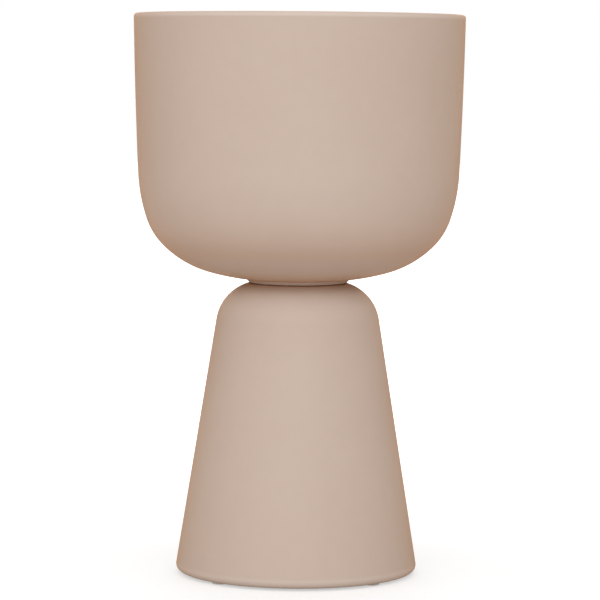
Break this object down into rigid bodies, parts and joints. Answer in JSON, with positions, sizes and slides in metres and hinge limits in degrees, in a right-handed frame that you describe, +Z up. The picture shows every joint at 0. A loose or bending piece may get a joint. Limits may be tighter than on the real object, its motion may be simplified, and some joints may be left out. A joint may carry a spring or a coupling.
{
  "type": "flower pot on stand",
  "caption": "Flower pot on a stand: a round-bottomed glazed ceramic pot that lifts off and turns on a hollow conical ceramic stand, centred by a collar in a soft ring.",
  "frame": {"origin": "on the common axis of pot and stand, on the surface that the foot pads rest on", "axes": "+Z up along the axis; +X to the right and -Y towards the viewer in the picture"},
  "size_m": [0.154, 0.1539, 0.261],
  "materials": {
    "beige_glaze": "satin",
    "pad_silicone": "satin",
    "gasket_silicone": "matte"
  },
  "bodies": {
    "stand": {"stand": "beige_glaze", "foot_pad_1": "pad_silicone", "foot_pad_2": "pad_silicone", "foot_pad_3": "pad_silicone", "foot_pad_4": "pad_silicone"},
    "gasket": {"seat_gasket": "gasket_silicone"},
    "pot": {"pot": "beige_glaze"}
  },
  "joints": [
    {"name": "pot_turn", "type": "hinge", "parent": "stand", "child": "gasket", "pos_m": [0, 0, 0.136], "axis": [0, 0, 1], "continuous": true},
    {"name": "pot_lift", "type": "slide", "parent": "gasket", "child": "pot", "axis": [0, 0, 1], "range_m": [0, 0.08]}
  ]
}
